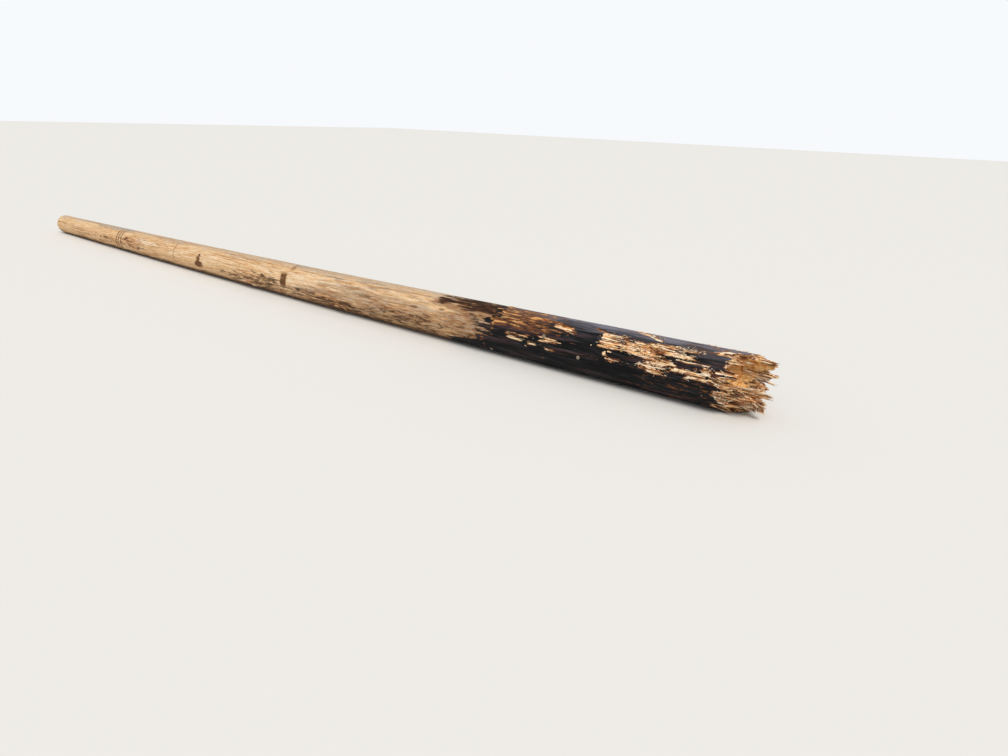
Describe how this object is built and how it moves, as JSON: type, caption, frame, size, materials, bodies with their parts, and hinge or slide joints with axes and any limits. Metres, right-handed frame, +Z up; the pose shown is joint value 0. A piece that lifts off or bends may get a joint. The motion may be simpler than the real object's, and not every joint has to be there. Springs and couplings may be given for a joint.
{
  "type": "broken wooden utility pole",
  "caption": "Long tapered wooden utility pole lying on its side, with a sawn top, a black coated butt and a splintered, hollow break.",
  "frame": {"origin": "on the floor under the middle of the pole's bounding box", "axes": "+X along the pole towards the broken butt, +Y towards the back, +Z up; the pole bows towards -Y"},
  "size_m": [8.97, 0.3995, 0.367],
  "materials": {
    "weathered_wood": "weathered",
    "black_coat": "tarry, slightly glossy",
    "plug": "dull",
    "torn_wood": "freshly torn"
  },
  "bodies": {
    "root": {"pole_shaft": "weathered_wood", "butt_coat": "black_coat", "inspection_plug_low": "plug", "inspection_plug_middle": "plug", "inspection_plug_high": "plug", "sliver_crown_back": "torn_wood", "sliver_crown_top": "torn_wood", "sliver_crown_front": "torn_wood", "sliver_tip_upper": "torn_wood", "sliver_tip_lower": "torn_wood", "sliver_lip_front": "torn_wood", "sliver_lip_low": "torn_wood", "sliver_foot_front": "torn_wood", "sliver_foot_back": "torn_wood", "sliver_heart_upper": "torn_wood", "sliver_heart_lower": "torn_wood", "sliver_heart_back": "torn_wood", "sliver_heart_front": "torn_wood", "sliver_heart_middle": "torn_wood", "sliver_side_long": "torn_wood", "sliver_side_short": "torn_wood"}
  },
  "joints": []
}
